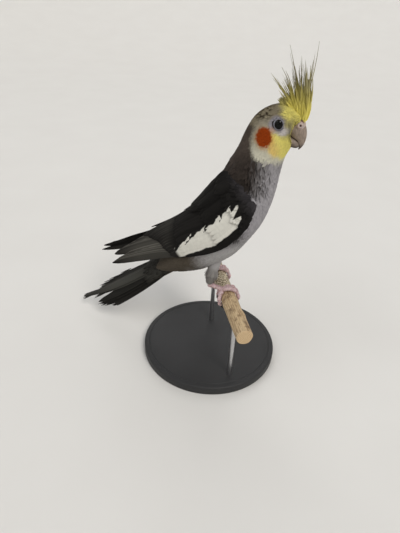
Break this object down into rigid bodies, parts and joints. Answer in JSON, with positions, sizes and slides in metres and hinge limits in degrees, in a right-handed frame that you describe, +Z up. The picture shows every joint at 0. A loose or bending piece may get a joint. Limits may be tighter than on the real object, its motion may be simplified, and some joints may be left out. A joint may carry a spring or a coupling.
{
  "type": "cockatiel display model",
  "caption": "Life-size still model of a grey crested parrot, standing on a short piece of branch held by two rods in a flat round base.",
  "frame": {"origin": "centre of the underside of the stand's round base", "axes": "+X the way the bird faces, +Y to its left, +Z up"},
  "size_m": [0.1998, 0.12, 0.2595],
  "materials": {
    "grey_plumage": "soft grey body feathers",
    "yellow_plumage": "soft yellow face feathers",
    "dark_feathers": "sleek near-black flight feathers",
    "crest_feathers": "thin yellow to olive crest feathers",
    "bill_horn": "satin horn",
    "bare_skin": "pinkish grey scaly skin",
    "eye": "wet gloss",
    "claw_horn": "satin dark horn",
    "branch_wood": "worn bare wood with chewed bark",
    "stand_black": "satin black",
    "rod_steel": "brushed"
  },
  "bodies": {
    "root": {"head": "yellow_plumage", "crest": "crest_feathers", "neck": "grey_plumage", "torso": "grey_plumage", "tail": "dark_feathers", "wing_right": "dark_feathers", "wing_left": "dark_feathers", "thigh_right": "grey_plumage", "thigh_left": "grey_plumage", "foot_right": "bare_skin", "foot_left": "bare_skin", "claw_right_outer_front": "claw_horn", "claw_right_inner_front": "claw_horn", "claw_right_outer_back": "claw_horn", "claw_right_inner_back": "claw_horn", "claw_left_outer_front": "claw_horn", "claw_left_inner_front": "claw_horn", "claw_left_outer_back": "claw_horn", "claw_left_inner_back": "claw_horn", "cere": "bare_skin", "bill_upper": "bill_horn", "bill_lower": "bill_horn", "eye_right": "eye", "eye_left": "eye", "branch": "branch_wood", "stand_base": "stand_black", "stand_rod_near": "rod_steel", "stand_rod_far": "rod_steel"}
  },
  "joints": []
}
